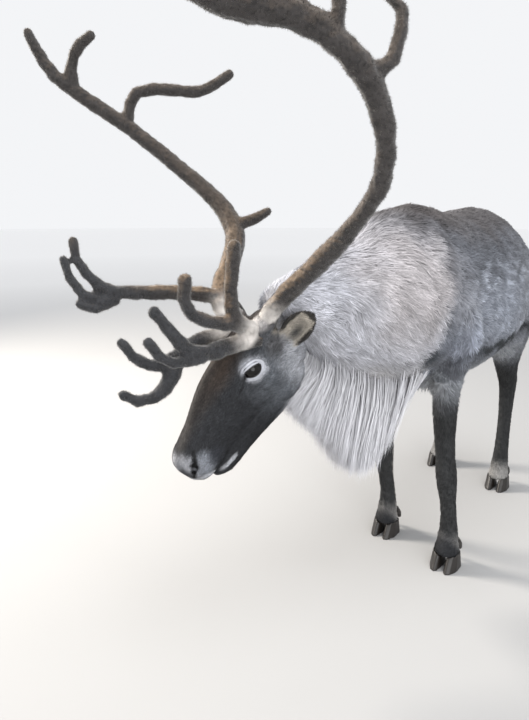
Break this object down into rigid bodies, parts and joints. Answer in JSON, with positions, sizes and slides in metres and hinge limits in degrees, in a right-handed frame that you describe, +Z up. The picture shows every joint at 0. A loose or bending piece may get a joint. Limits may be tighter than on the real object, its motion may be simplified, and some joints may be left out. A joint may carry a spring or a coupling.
{
  "type": "reindeer",
  "caption": "Life-size standing bull reindeer with velvet-covered antlers, head lowered and turned, long white throat mane and cloven hooves.",
  "frame": {"origin": "on the floor, under the middle of the whole model's box", "axes": "-X the way the body faces, -Y the animal's left side, +Z up"},
  "size_m": [1.683, 1.1378, 1.5402],
  "materials": {
    "coat": "dense pale grey coat of fine straight hair, brown-grey back, white mane",
    "leg_coat": "short charcoal hair lying flat",
    "velvet": "soft antler velvet, brown to dark grey with a pale fuzzy rim",
    "eye": "wet dark brown eye",
    "hoof": "dark horn, smooth, slightly worn at the edge"
  },
  "bodies": {
    "root": {"head": "coat", "neck": "coat", "torso": "coat", "tail": "coat", "ear_left": "coat", "ear_right": "coat", "leg_fore_left": "leg_coat", "leg_fore_right": "leg_coat", "leg_hind_left": "leg_coat", "leg_hind_right": "leg_coat", "antler_left_beam": "velvet", "antler_left_crown": "velvet", "antler_left_bez": "velvet", "antler_left_brow": "velvet", "antler_right_beam": "velvet", "antler_right_crown": "velvet", "antler_right_bez": "velvet", "antler_right_brow": "velvet", "antler_right_back_tine": "velvet", "antler_right_rear_tine": "velvet", "eye_left": "eye", "eye_right": "eye", "hoof_fore_left_outer": "hoof", "hoof_fore_left_inner": "hoof", "hoof_fore_right_outer": "hoof", "hoof_fore_right_inner": "hoof", "hoof_hind_left_outer": "hoof", "hoof_hind_left_inner": "hoof", "hoof_hind_right_outer": "hoof", "hoof_hind_right_inner": "hoof", "dewclaw_fore_left_outer": "hoof", "dewclaw_fore_left_inner": "hoof", "dewclaw_fore_right_outer": "hoof", "dewclaw_fore_right_inner": "hoof", "dewclaw_hind_left_outer": "hoof", "dewclaw_hind_left_inner": "hoof", "dewclaw_hind_right_outer": "hoof", "dewclaw_hind_right_inner": "hoof"}
  },
  "joints": []
}
